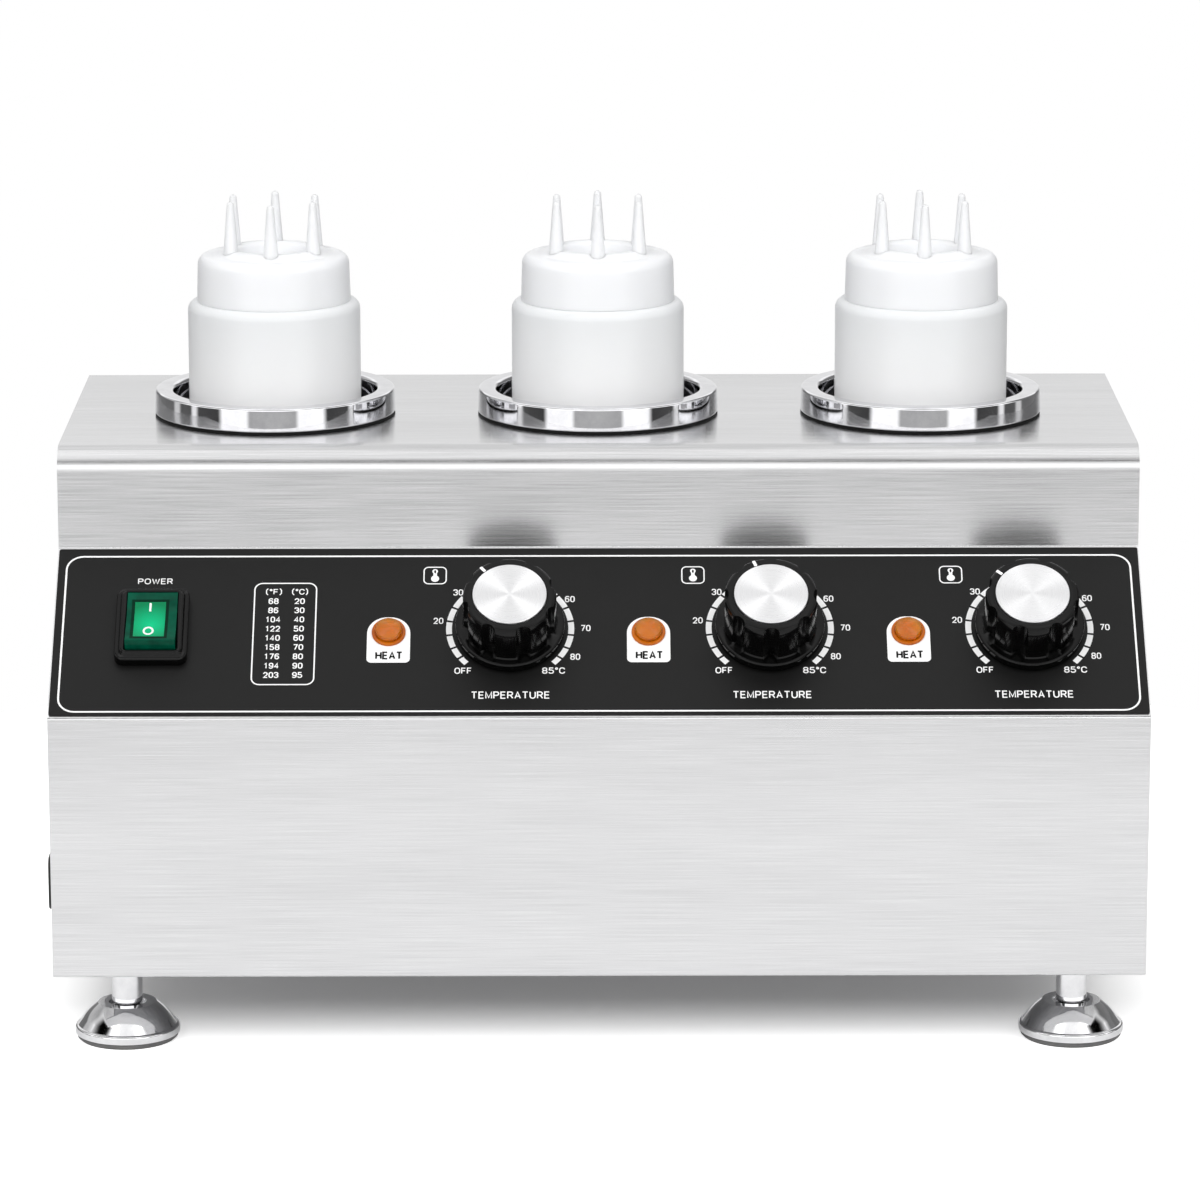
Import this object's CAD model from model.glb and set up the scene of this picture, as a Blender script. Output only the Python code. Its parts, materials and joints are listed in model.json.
import json
import math

import bmesh
import bpy
import numpy as np
from mathutils import Matrix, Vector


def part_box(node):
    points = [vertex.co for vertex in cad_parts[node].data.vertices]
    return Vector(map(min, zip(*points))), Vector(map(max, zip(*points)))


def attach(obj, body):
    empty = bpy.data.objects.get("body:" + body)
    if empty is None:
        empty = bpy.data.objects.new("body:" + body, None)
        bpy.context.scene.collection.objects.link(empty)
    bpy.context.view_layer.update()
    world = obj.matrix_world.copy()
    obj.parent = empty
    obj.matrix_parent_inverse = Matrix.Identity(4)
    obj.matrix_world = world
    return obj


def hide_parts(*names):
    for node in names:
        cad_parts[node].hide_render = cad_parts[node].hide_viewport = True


# Sauce warmer: smooth surfaces, finishes, lettering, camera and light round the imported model.
# Sizes are in millimetres and angles in degrees. Places are read from the frame.

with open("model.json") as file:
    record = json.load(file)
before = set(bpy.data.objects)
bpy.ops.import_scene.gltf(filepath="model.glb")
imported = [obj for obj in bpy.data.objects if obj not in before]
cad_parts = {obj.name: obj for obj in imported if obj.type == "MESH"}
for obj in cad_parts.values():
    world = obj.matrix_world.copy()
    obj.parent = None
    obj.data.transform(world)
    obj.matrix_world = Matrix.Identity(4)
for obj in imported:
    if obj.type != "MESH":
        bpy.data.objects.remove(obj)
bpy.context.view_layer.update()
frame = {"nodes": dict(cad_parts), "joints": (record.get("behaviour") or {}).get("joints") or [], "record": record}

mm = 0.001
sides = ["left", "middle", "right"]
corners = ["front_left", "front_right", "rear_left", "rear_right"]
bodyOf = {node: body for body, nodes in frame["record"]["behaviour"]["bodies"].items() for node in nodes}
jointOf = {joint["name"]: joint for joint in frame["joints"]}


def lowest(node):
    # Low corner of a node's box
    return np.array(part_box(node)[0]) / mm


def highest(node):
    # High corner of a node's box
    return np.array(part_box(node)[1]) / mm


def middle(node):
    # Half way between the two corners
    return (lowest(node) + highest(node)) / 2


# Frames: where the wells, the slope and the feet stand


def frameAt(origin, right=(1, 0, 0), up=(0, 1, 0)):
    # Columns are right, up and their cross product, then the origin
    place = np.eye(4)
    place[:3, 0] = right
    place[:3, 1] = up
    place[:3, 2] = np.cross(right, up)
    place[:3, 3] = origin
    return place


def turned(place, degrees, lift=0.0):
    # The same frame, lifted along its own z axis and turned about it
    c, s = math.cos(math.radians(degrees)), math.sin(math.radians(degrees))
    return place @ np.array([[c, -s, 0, 0], [s, c, 0, 0], [0, 0, 1, lift], [0, 0, 0, 1]])


def unit(vector):
    # A vector over its own length
    return vector / np.linalg.norm(vector)


topPlateZ = highest("cover_shell")[2]
undersideZ = lowest("cover_shell")[2]
slopeNormal = unit(np.array(jointOf["knob_middle_turn"]["axis"]))
slopeUp = np.cross(slopeNormal, (1, 0, 0))
controlU = 45  # height of the knobs up the slope, from its lower edge
knobPlaces = {side: np.array(jointOf[f"knob_{side}_turn"]["pos_m"]) / mm for side in sides}
switchX = middle("switch_rocker")[0]
lampX = {side: middle(f"lamp_lens_{side}")[0] for side in sides}
overlayTop = 0.8  # thickness of the overlay on the slope
ink = (overlayTop - 0.02, overlayTop + 0.05)  # levels of the print on the overlay, thick enough to show


def onSlope(x, u, spin=0):
    # A point of the slope, x from the middle and u up from its lower edge, turned by spin about its normal
    origin = knobPlaces["middle"] * (0, 1, 1) + (x, 0, 0) + (u - controlU) * slopeUp
    return turned(frameAt(origin, up=slopeUp), spin)


def upright(node, z=0):
    # A frame on the node's middle axis, at a height
    return frameAt((*middle(node)[:2], z))


# Mesh making


def fullTurn(steps):
    # Equal angles once round, without the last, which is the first again
    return np.linspace(0, 2 * math.pi, steps, endpoint=False)


def arc(centre, radius, start, end, steps=6):
    # Points at equal angles on a circle from start to end
    angles = np.radians(np.linspace(start, end, steps + 1))
    return np.array(centre) + radius * np.stack([np.cos(angles), np.sin(angles)], axis=1)


def eased(corners, steps=5):
    # Each corner (across, up, radius) of an open or closed outline gives way to an arc that touches both
    # of its sides: the arc's centre lies on the bisector, at radius over the sine of half the corner.
    # A corner without a radius stays sharp
    outline, radii = np.hsplit(np.array([(*corner, 0)[:3] for corner in corners], float), [2])
    points = []
    for before, corner, after, radius in zip(np.roll(outline, 1, 0), outline, np.roll(outline, -1, 0), radii[:, 0]):
        if radius == 0:
            points.append(corner[None])
            continue
        toBefore, toAfter = unit(before - corner), unit(after - corner)
        half = math.acos(np.clip(toBefore @ toAfter, -1, 1)) / 2
        centre = corner + unit(toBefore + toAfter) * radius / math.sin(half)
        first = corner + toBefore * radius / math.tan(half) - centre
        last = corner + toAfter * radius / math.tan(half) - centre
        sweep = math.pi - 2 * half
        share = np.linspace(0, 1, steps + 1)[:, None]
        points.append(centre + (np.sin((1 - share) * sweep) * first + np.sin(share * sweep) * last) / math.sin(sweep))
    return np.concatenate(points)


def atHeight(outline, height):
    # A flat outline with the same z at all its points
    return np.column_stack([outline, np.full(len(outline), height)])


def roundedRectangle(width, length, radius, steps=8):
    # Four quarter circles, one round each corner, joined by straight sides
    angles = np.radians(np.linspace(0, 90, steps + 1))[None, :] + np.radians(np.arange(4) * 90)[:, None]
    signs = np.array([[1, 1], [-1, 1], [-1, -1], [1, -1]])
    centres = signs * ((width / 2 - radius), (length / 2 - radius))
    circle = np.stack([np.cos(angles), np.sin(angles)], axis=-1)
    return (centres[:, None, :] + radius * circle).reshape(-1, 2)


def gridPart(grid, wrapRows=False, capFirst=False, capLast=False):
    # Points of a grid of rows and columns, and the quads between neighbours. Each row closes on itself,
    # and a cap closes an end row
    rows, columns = grid.shape[:2]
    index = np.arange(rows * columns).reshape(rows, columns)
    first, last = index[0].tolist(), index[-1].tolist()
    index = np.hstack([index, index[:, :1]])
    if wrapRows:
        index = np.vstack([index, index[:1]])
    faces = np.stack([index[:-1, :-1], index[:-1, 1:], index[1:, 1:], index[1:, :-1]], axis=-1)
    faces = faces.reshape(-1, 4).tolist()
    if capFirst:
        faces.append(first)
    if capLast:
        faces.append(last)
    return grid.reshape(-1, 3), faces


def roundAxis(radius, height, angles):
    # x = r cos a, y = r sin a
    return np.stack([radius * np.cos(angles), radius * np.sin(angles), height + 0 * angles], axis=-1)


def revolved(profile, turns=96):
    # A closed profile of radius and height turned round the z axis
    return gridPart(roundAxis(profile[:, :1], profile[:, 1:], fullTurn(turns)), wrapRows=True)


def washer(inner, outer, low, high, radii=(0, 0, 0, 0), steps=6, turns=96):
    # A turned ring with a rectangular section: the radii ease its corners, from the lower inner one on
    return revolved(eased(list(zip((inner, outer, outer, inner), (low, low, high, high), radii)), steps), turns)


def lofted(rows, hollow=False, steps=8):
    # Rounded rectangles of width, length, corner radius and height, joined in order; the ends are
    # capped, or for a hollow form the last row joins the first
    outlines = [atHeight(roundedRectangle(*sizes, steps), height) for *sizes, height in rows]
    return gridPart(np.array(outlines), wrapRows=hollow, capFirst=not hollow, capLast=not hollow)


def frameLine(width, length, radius, line, low, high):
    # The outline of a rounded rectangle as a line of some width, measured to its outer edge
    inner = (width - 2 * line, length - 2 * line, radius - line)
    return lofted([(*inner, low), (*inner, high), (width, length, radius, high), (width, length, radius, low)], True)


def strip(leftEdge, rightEdge, low, high):
    # A flat bar between two edges in the plane, from a low to a high level
    columns = [atHeight(*edge) for edge in ((leftEdge, low), (rightEdge, low), (rightEdge, high), (leftEdge, high))]
    return gridPart(np.stack(columns, axis=1), capFirst=True, capLast=True)


def stroke(points, weight, low, high):
    # A pen line along a path: both edges lie half its weight aside, and at a corner the edge moves out
    # by one over the cosine of half the turn, up to 1.6
    way = np.diff(points, axis=0)
    way /= np.linalg.norm(way, axis=1)[:, None]
    aside = np.column_stack([-way[:, 1], way[:, 0]])
    mitre = np.vstack([aside[:1], aside[:-1] + aside[1:], aside[-1:]])
    mitre /= np.linalg.norm(mitre, axis=1)[:, None]
    mitre /= np.clip((mitre * np.vstack([aside[:1], aside])).sum(axis=1), 1 / 1.6, 1)[:, None]
    return strip(points - mitre * weight / 2, points + mitre * weight / 2, low, high)


def loop(x, y, width, height, radius):
    # A closed path with round corners that starts in the middle of its lower side
    return [(x + width / 2, y), (x + width, y, radius), (x + width, y + height, radius), (x, y + height, radius),
            (x, y, radius), (x + width / 2, y)]


# Pen paths of each sign, six units high: across, up, and the radius of a round corner
signs = {
    "0": [loop(0, 0, 3.7, 6, 1.8)],
    "1": [[(0.7, 4.6), (2.2, 6), (2.2, 0)]],
    "2": [[(0, 4.3), (0, 6, 1.6), (3.7, 6, 1.8), (3.7, 3.6, 1.2), (0, 0), (3.8, 0)]],
    "3": [[(0, 4.8), (0, 6, 1.1), (3.6, 6, 1.4), (3.6, 3.15, 1.3), (1.4, 3.15)],
          [(1.4, 3.15), (3.7, 3.15, 1.4), (3.7, 0, 1.6), (0, 0, 1.2), (0, 1.3)]],
    "4": [[(2.8, 0), (2.8, 6), (0, 1.7), (3.9, 1.7)]],
    "5": [[(3.5, 6), (0.4, 6), (0.2, 3.6), (3.7, 3.6, 1.7), (3.7, 0, 1.7), (0, 0, 1.2), (0, 1.3)]],
    "6": [[(3.5, 5.1), (3.5, 6, 0.8), (0, 6, 1.9), (0, 0, 1.7), (3.7, 0, 1.7), (3.7, 3.6, 1.7), (0, 3.6)]],
    "7": [[(0, 6), (3.7, 6), (1.3, 0)]],
    "8": [loop(0.15, 3.15, 3.4, 2.85, 1.35), loop(0, 0, 3.7, 3.15, 1.5)],
    "9": [[(0.2, 0.9), (0.2, 0, 0.8), (3.7, 0, 1.9), (3.7, 6, 1.7), (0, 6, 1.7), (0, 2.4, 1.7), (3.7, 2.4)]],
    "°": [loop(0, 4.4, 1.6, 1.6, 0.7)],
    "(": [[(1.4, 7), (0, 5, 2), (0, 1, 2), (1.4, -1)]],
    ")": [[(0, 7), (1.4, 5, 2), (1.4, 1, 2), (0, -1)]],
    "A": [[(0, 0), (2.1, 6), (4.2, 0)], [(0.7, 1.9), (3.5, 1.9)]],
    "C": [[(4.1, 4.3), (4.1, 6, 1.6), (0, 6, 2), (0, 0, 2), (4.1, 0, 1.6), (4.1, 1.7)]],
    "E": [[(3.5, 6), (0, 6), (0, 0), (3.6, 0)], [(0, 3.1), (3.2, 3.1)]],
    "F": [[(3.5, 6), (0, 6), (0, 0)], [(0, 3), (3.1, 3)]],
    "H": [[(0, 0), (0, 6)], [(4, 0), (4, 6)], [(0, 3.1), (4, 3.1)]],
    "M": [[(0, 0), (0, 6), (2.3, 0.6), (4.6, 6), (4.6, 0)]],
    "O": [loop(0, 0, 4.6, 6, 2.2)],
    "P": [[(0, 0), (0, 6), (3.8, 6, 1.5), (3.8, 2.8, 1.5), (0, 2.8)]],
    "R": [[(0, 0), (0, 6), (3.8, 6, 1.5), (3.8, 2.9, 1.5), (0, 2.9)], [(2.2, 2.9), (4, 0)]],
    "T": [[(0, 6), (4.2, 6)], [(2.1, 6), (2.1, 0)]],
    "U": [[(0, 6), (0, 0, 2), (4.1, 0, 2), (4.1, 6)]],
    "W": [[(0, 6), (1.5, 0), (3, 5.4), (4.5, 0), (6, 6)]],
}


def letters(words, width, height, weight, thickness, space=1.9):
    # Signs side by side, scaled to a width and height and centred; each stroke is a hair above the last
    paths, pen = [], 0
    for sign in words:
        paths += [eased(line, 6) + (pen, 0) for line in signs[sign]]
        pen += max([corner[0] for line in signs[sign] for corner in line] + [3.7 * sign.isdigit()]) + space
    scale = ((width - weight) / (pen - space), (height - weight) / 6)
    lifts = thickness * (1 + 0.05 * np.arange(len(paths)) / len(paths))
    return joined([stroke((path - ((pen - space) / 2, 3)) * scale, weight, 0, lift)
                   for path, lift in zip(paths, lifts)])


def joined(parts):
    # Several parts as one: the faces of each are counted on from the points before it
    points, faces, count = [], [], 0
    for partPoints, partFaces in parts:
        points.append(partPoints)
        faces += [[corner + count for corner in face] for face in partFaces]
        count += len(partPoints)
    return np.concatenate(points), faces


def placed(part, place):
    # A part whose points are turned and moved by a frame
    return part[0] @ place[:3, :3].T + place[:3, 3], part[1]


def finishMesh(mesh, sharpAngle, packed=False):
    # Merge doubles and shade smooth between sharp edges. The faces of a made mesh are pointed outwards,
    # and the flat triangles of a packed one are joined
    work = bmesh.new()
    work.from_mesh(mesh)
    bmesh.ops.remove_doubles(work, verts=work.verts, dist=2e-6)
    if packed:
        bmesh.ops.dissolve_limit(work, angle_limit=math.radians(0.6), verts=work.verts, edges=work.edges)
    else:
        bmesh.ops.recalc_face_normals(work, faces=work.faces)
    work.to_mesh(mesh)
    work.free()
    mesh.shade_smooth()
    mesh.set_sharp_from_angle(angle=math.radians(sharpAngle))


def addObject(name, data):
    # An object in the scene, at the origin
    made = bpy.data.objects.new(name, data)
    bpy.context.scene.collection.objects.link(made)
    return made


def addPiece(name, mesh, material, body, nodes=()):
    # A mesh with one material rides a body, and takes the place of nodes, shares a slot, or both
    piece = addObject(name, mesh)
    mesh.materials.clear()
    mesh.materials.append(material)
    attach(piece, body)
    if nodes:
        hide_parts(*nodes)
    return piece


def makePiece(name, part, place, material, body, nodes=(), sharpAngle=40):
    # A part in millimetres, in a local frame, becomes a piece in metres that stands in for CAD nodes
    points, faces = placed(part, place)
    mesh = bpy.data.meshes.new(name)
    mesh.from_pydata((points * mm).tolist(), [], faces)
    finishMesh(mesh, sharpAngle)
    return addPiece(name, mesh, material, body, nodes)


def dressNode(node, material, bevel=0.0, sharpAngle=28):
    # A welded copy of a CAD node, shaded smooth across its bends, with its edges eased by a bevel
    mesh = frame["nodes"][node].data.copy()
    mesh.name = node + "_skin"
    finishMesh(mesh, sharpAngle, packed=True)
    piece = addPiece(node + "_skin", mesh, material, bodyOf[node], [node])
    if bevel:
        edge = piece.modifiers.new("eased edges", "BEVEL")
        edge.width = bevel * mm
        edge.segments = 2
        edge.limit_method = "ANGLE"
        edge.angle_limit = math.radians(sharpAngle)
        edge.use_clamp_overlap = True
        edge.harden_normals = True
    else:
        piece.modifiers.new("flat faces stay flat", "WEIGHTED_NORMAL").keep_sharp = True


# Materials


def srgb(code):
    # Hex colour to linear: c / 12.92 up to 0.04045, else ((c + 0.055) / 1.055) to the power of 2.4
    values = np.array([int(code[i:i + 2], 16) for i in (1, 3, 5)]) / 255
    linear = np.where(values <= 0.04045, values / 12.92, ((values + 0.055) / 1.055) ** 2.4)
    return (*linear.tolist(), 1.0)


def feed(node, **inputs):
    # Sets inputs, named or as i and a number, each to a value or to (node, output)
    for key, value in inputs.items():
        socket = node.inputs[int(key[1:])] if key[1:].isdigit() else node.inputs[key.replace("_", " ")]
        if isinstance(value, tuple) and isinstance(value[0], bpy.types.Node):
            node.id_data.links.new(value[0].outputs[value[1]], socket)
        else:
            socket.default_value = value


def addNode(tree, kind, settings=None, **inputs):
    # A node with its settings and what feeds it
    node = tree.nodes.new(kind)
    for key, value in (settings or {}).items():
        setattr(node, key, value)
    feed(node, **inputs)
    return node


def newMaterial(name, **settings):
    # A Principled material with its plain values, and the tree to add patterns to
    material = bpy.data.materials.new(name)
    material.use_nodes = True
    tree = material.node_tree
    shader = tree.nodes["Principled BSDF"]
    feed(shader, **settings)
    return material, tree, shader


def objectPattern(tree, size, **inputs):
    # Noise on Object coordinates whose features measure so many millimetres along each axis
    place = addNode(tree, "ShaderNodeTexCoord")
    spread = addNode(tree, "ShaderNodeMapping", Vector=(place, "Object"), Scale=[1 / (part * mm) for part in size])
    return addNode(tree, "ShaderNodeTexNoise", Vector=(spread, "Vector"), Scale=1.0, **inputs), "Fac"


def applyFinish(tree, shader, cloud, tones, gloss, relief, depth, spread=(0.3, 0.7)):
    # The cloud pattern carries the colour from tone to tone and the roughness from value to value,
    # and the relief pattern lifts the surface by a depth in millimetres
    share = addNode(tree, "ShaderNodeMapRange", Value=cloud, From_Min=spread[0], From_Max=spread[1])
    dark, light = [srgb(tone) for tone in tones]
    colour = addNode(tree, "ShaderNodeMix", {"data_type": "RGBA"}, i0=(share, 0), i6=dark, i7=light)
    rough = addNode(tree, "ShaderNodeMapRange", Value=(share, 0), To_Min=gloss[0], To_Max=gloss[1])
    bump = addNode(tree, "ShaderNodeBump", Height=relief, Distance=depth * mm)
    feed(shader, Base_Color=(colour, 2), Roughness=(rough, 0), Normal=(bump, "Normal"))


def brushedSteel(name, tones, gloss=(0.3, 0.36), along="x", grain=0.4, run=50, anisotropy=0.75):
    # Stainless sheet, belt-ground in one direction: fine scratches stretch the reflections across them.
    # Real scratches are about 0.05 mm apart, drawn coarser so that they show
    material, tree, shader = newMaterial(name, Metallic=1.0, Anisotropic=anisotropy)
    fine = (run, grain, grain) if along == "x" else (grain, run, grain)
    broad = (240, 26, 26) if along == "x" else (26, 240, 26)
    scratches = objectPattern(tree, fine, Detail=3.0, Roughness=0.6)
    drift = objectPattern(tree, broad, Detail=4.0, Roughness=0.6)
    both = addNode(tree, "ShaderNodeMix", {"data_type": "FLOAT"}, i0=0.3, i2=scratches, i3=drift)
    applyFinish(tree, shader, (both, 0), tones, gloss, scratches, 0.003, (0.38, 0.62))
    surface = addNode(tree, "ShaderNodeNewGeometry")
    grainWay = (1, 0, 0) if along == "x" else (0, 1, 0)
    across = addNode(tree, "ShaderNodeVectorMath", {"operation": "CROSS_PRODUCT"}, i0=(surface, "Normal"),
                     i1=grainWay)
    feed(shader, Tangent=(across, "Vector"))
    return material


def polishedMetal(name, tones, gloss, haze=9):
    # Metal turned or plated bright, with the faint uneven haze of polishing and handling
    material, tree, shader = newMaterial(name, Metallic=1.0)
    cloud = objectPattern(tree, (haze,) * 3, Detail=5.0, Roughness=0.65)
    applyFinish(tree, shader, cloud, tones, gloss, cloud, 0.004)
    return material


def moulding(name, tones, gloss, skin=0.5, depth=0.006, cloud=14, **settings):
    # Injection-moulded plastic or film: a fine skin from the tool, and slight changes of gloss
    material, tree, shader = newMaterial(name, **settings)
    patches = objectPattern(tree, (cloud,) * 3, Detail=4.0)
    applyFinish(tree, shader, patches, tones, gloss, objectPattern(tree, (skin,) * 3, Detail=2.0), depth)
    return material


def blownPolyethylene(name, tones, gloss, low, high):
    # Natural low-density polyethylene, blown or moulded: milky and waxy, light wanders inside its wall,
    # it thickens and so whitens towards its low end, and faint flow lines run up it
    material, tree, shader = newMaterial(name, Subsurface_Weight=0.4, Subsurface_Radius=(1.0, 1.0, 1.05),
                                         Subsurface_Scale=3 * mm, IOR=1.51)
    flow = objectPattern(tree, (16, 16, 90), Detail=0.0)
    here = addNode(tree, "ShaderNodeTexCoord")
    parts = addNode(tree, "ShaderNodeSeparateXYZ", Vector=(here, "Object"))
    height = addNode(tree, "ShaderNodeMath", {"operation": "MULTIPLY_ADD"}, i0=flow, i1=8 * mm, i2=(parts, "Z"))
    applyFinish(tree, shader, (height, 0), tones, gloss, flow, 0.003, (low * mm, high * mm))
    return material


def facedAluminium(name, place):
    # Aluminium disc faced on a lathe: rings about its axis, so its highlights run out from the centre
    material, tree, shader = newMaterial(name, Metallic=1.0, Anisotropic=0.95)
    here = addNode(tree, "ShaderNodeTexCoord")
    fromCentre = addNode(tree, "ShaderNodeVectorMath", {"operation": "SUBTRACT"},
                         i0=(here, "Object"), i1=place[:3, 3] * mm)
    axis = place[:3, 2]
    circling = addNode(tree, "ShaderNodeVectorMath", {"operation": "CROSS_PRODUCT"}, i0=axis, i1=(fromCentre, 0))
    outwards = addNode(tree, "ShaderNodeVectorMath", {"operation": "CROSS_PRODUCT"}, i0=(circling, 0), i1=axis)
    feed(shader, Tangent=(outwards, "Vector"))
    reach = addNode(tree, "ShaderNodeVectorMath", {"operation": "LENGTH"}, i0=(circling, 0))
    rings = addNode(tree, "ShaderNodeTexNoise", {"noise_dimensions": "1D"}, W=(reach, "Value"),
                    Scale=1 / (0.35 * mm), Detail=2.0)
    applyFinish(tree, shader, (rings, "Fac"), ("#e9e9ea", "#efeff0"), (0.27, 0.31), (rings, "Fac"), 0.0012)
    return material


def dyedPolycarbonate(name, tones, transmission, gloss=(0.05, 0.1), **settings):
    # Clear polycarbonate dyed through: glossy, and deeper in colour where it is thick
    material, tree, shader = newMaterial(name, IOR=1.58, Transmission_Weight=transmission, **settings)
    cloud = objectPattern(tree, (7,) * 3, Detail=2.0)
    applyFinish(tree, shader, cloud, tones, gloss, cloud, 0.01)
    return material


def litPanel(name, centre, reach, tones):
    # A frosted diffuser over a small lamp: brightest over the lamp, fading to its edges
    material, tree, shader = newMaterial(name, Specular_IOR_Level=0.15)
    here = addNode(tree, "ShaderNodeTexCoord")
    away = addNode(tree, "ShaderNodeVectorMath", {"operation": "DISTANCE"}, i0=(here, "Object"), i1=centre * mm)
    frost = objectPattern(tree, (0.6,) * 3, Detail=2.0)
    applyFinish(tree, shader, (away, "Value"), tones, (0.15, 0.25), frost, 0.004, (0, reach * mm))
    return material


steel = {
    "front": brushedSteel("belt-ground stainless cover", ("#d3d3d4", "#e4e4e5"), (0.2, 0.26)),
    "side": brushedSteel("belt-ground stainless side", ("#cecece", "#dcdcdc"), (0.24, 0.3), along="y"),
    "rear": brushedSteel("belt-ground stainless rear", ("#c4c4c6", "#d4d4d6"), (0.34, 0.42)),
    "base": brushedSteel("galvanised base sheet", ("#9c9c9e", "#b0b0b2"), (0.35, 0.45), grain=1.5, run=8),
    "cup": brushedSteel("drawn stainless cup", ("#8c8c8e", "#b0b0b2"), (0.3, 0.4), grain=0.8, run=12),
    "ring": polishedMetal("polished stainless ring", ("#dcdcdf", "#ececee"), (0.04, 0.07)),
    "foot": polishedMetal("chromium-plated foot", ("#dcdcde", "#f0f0f1"), (0.06, 0.1)),
    "screw": polishedMetal("zinc-plated screw", ("#c2c2c2", "#dadada"), (0.18, 0.3), 3),
    "plate": polishedMetal("zinc-plated steel", ("#a8a8a4", "#c8c8c2"), (0.25, 0.4)),
    "band": brushedSteel("aluminised band heater", ("#8c8880", "#a8a49a"), (0.4, 0.5), grain=1.2, run=20),
}
brass = polishedMetal("turned brass", ("#b8924e", "#d8b46c"), (0.18, 0.3))
copper = polishedMetal("drawn copper", ("#a5684a", "#c98660"), (0.22, 0.36))
overlayFilm = moulding("matt black polycarbonate film", ("#0a0a0a", "#0d0d0d"), (0.42, 0.5), 0.3, 0.003,
                       Specular_IOR_Level=0.26)
inkWhite = moulding("white screen ink", ("#f2f2f2", "#f8f8f8"), (0.5, 0.6), 0.3, 0.003)
inkBlack = moulding("black screen ink", ("#080808", "#0c0c0c"), (0.5, 0.6), 0.3, 0.003, Specular_IOR_Level=0.1)
labelWhite = moulding("white vinyl label", ("#efefef", "#f6f6f6"), (0.3, 0.4), 0.8, 0.004)
knobBlack = moulding("glossy black ABS", ("#030303", "#050505"), (0.13, 0.17), 2.5, 0.001, Specular_IOR_Level=0.24)
switchBlack = moulding("satin black nylon", ("#040404", "#070707"), (0.1, 0.14), 0.8, 0.001, Specular_IOR_Level=0.27)
inletBlack = moulding("black thermoset", ("#101010", "#1a1a1a"), (0.35, 0.5), 0.5, 0.01)
bottleMilky = blownPolyethylene("blown natural polyethylene", ("#fdfdfe", "#e6e8ea"), (0.34, 0.38), 250, 296)
capMilky = blownPolyethylene("moulded natural polyethylene", ("#f0f1f3", "#eff0f2"), (0.32, 0.38), 300, 330)
lensAmber = dyedPolycarbonate("amber polycarbonate", ("#e8890a", "#f09c14"), 0.65, Specular_IOR_Level=0.12)
collarAmber = dyedPolycarbonate("deep amber polycarbonate", ("#b45806", "#cc6e0a"), 0.1, Specular_IOR_Level=0.22)
bowlAmber = moulding("frosted amber reflector", ("#e8941c", "#f4ac30"), (0.4, 0.5), 1.0, 0.02, cloud=3)
beadYellow = moulding("yellow glass bead", ("#ffd23c", "#ffe060"), (0.1, 0.2), 1.0, 0.01, cloud=3)
rockerGreen = dyedPolycarbonate("green polycarbonate", ("#003c2c", "#00523c"), 0.0, (0.06, 0.1),
                                Specular_IOR_Level=0.06)
recessGreen = moulding("dark green step", ("#002418", "#002e1e"), (0.2, 0.3), 1.0, 0.004, Specular_IOR_Level=0.06)
sealBlack = moulding("black silicone seal", ("#060606", "#0a0a0a"), (0.5, 0.6), 1.0, 0.01, Specular_IOR_Level=0.2)
padRubber = moulding("grey rubber", ("#5e5e5e", "#747473"), (0.65, 0.85), 0.8, 0.04)
whiteMoulding = moulding("white polyamide", ("#d8d6ce", "#e6e4de"), (0.4, 0.55))
wireBrown = moulding("silicone wire jacket", ("#6b3a22", "#8a4c2e"), (0.4, 0.55), 0.8, 0.02)
print("materials made")

# Cabinet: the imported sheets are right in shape, so they get rounded edges and their finish

for node, finish in {"cover_shell": "front", "left_side_panel": "side", "right_side_panel": "side",
                     "rear_panel": "rear", "base_plate": "base"}.items():
    dressNode(node, steel[finish], 0.3)
dressNode("control_overlay", overlayFilm, 0.15)
for side in sides:
    dressNode(f"well_cup_{side}", steel["cup"])
    dressNode(f"heater_band_{side}", steel["band"])
print("cabinet dressed")

# Screws: 8 behind, 7 below, 6 under the knobs and 2 in the inlet

screw = {"headRadius": 3.4, "headHeight": 2, "flushRadius": 3.2, "shank": 1.75, "length": 7, "slot": 0.45,
         "slotReach": 1.9, "slotDepth": 1.0, "flushDepth": 1.5, "wallEdge": 7, "thermostatGap": 14,
         "inletGap": 20, "baseInset": 10.6}


def screwPart(headRadius, headHeight, under):
    # Head of radius r and height h(1 - 0.3 r^2 / R^2), with a cross cut where |x| or |y| is small,
    # over a plain shank; under is the radius and height where the head's lower side begins
    c = screw
    radii = np.linspace(0.02, headRadius, 22)[:, None]
    angles = fullTurn(48)[None, :]
    x, y = radii * np.cos(angles), radii * np.sin(angles)
    crown = headHeight * (1 - 0.3 * (radii / headRadius) ** 2) + 0 * angles
    arms = [
        np.clip((c["slot"] - abs(narrow)) / 0.12, 0, 1) * np.clip((c["slotReach"] - abs(wide)) / 0.4, 0, 1)
        for narrow, wide in ((x, y), (y, x))
    ]
    top = np.stack([x, y, crown - c["slotDepth"] * np.maximum(*arms)], axis=-1)
    below = [under, (c["shank"], under[1]), (c["shank"], -c["length"]), (0.02, -c["length"])]
    return gridPart(np.concatenate([top, *[roundAxis(r, z, angles) for r, z in below]]), wrapRows=True)


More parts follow.
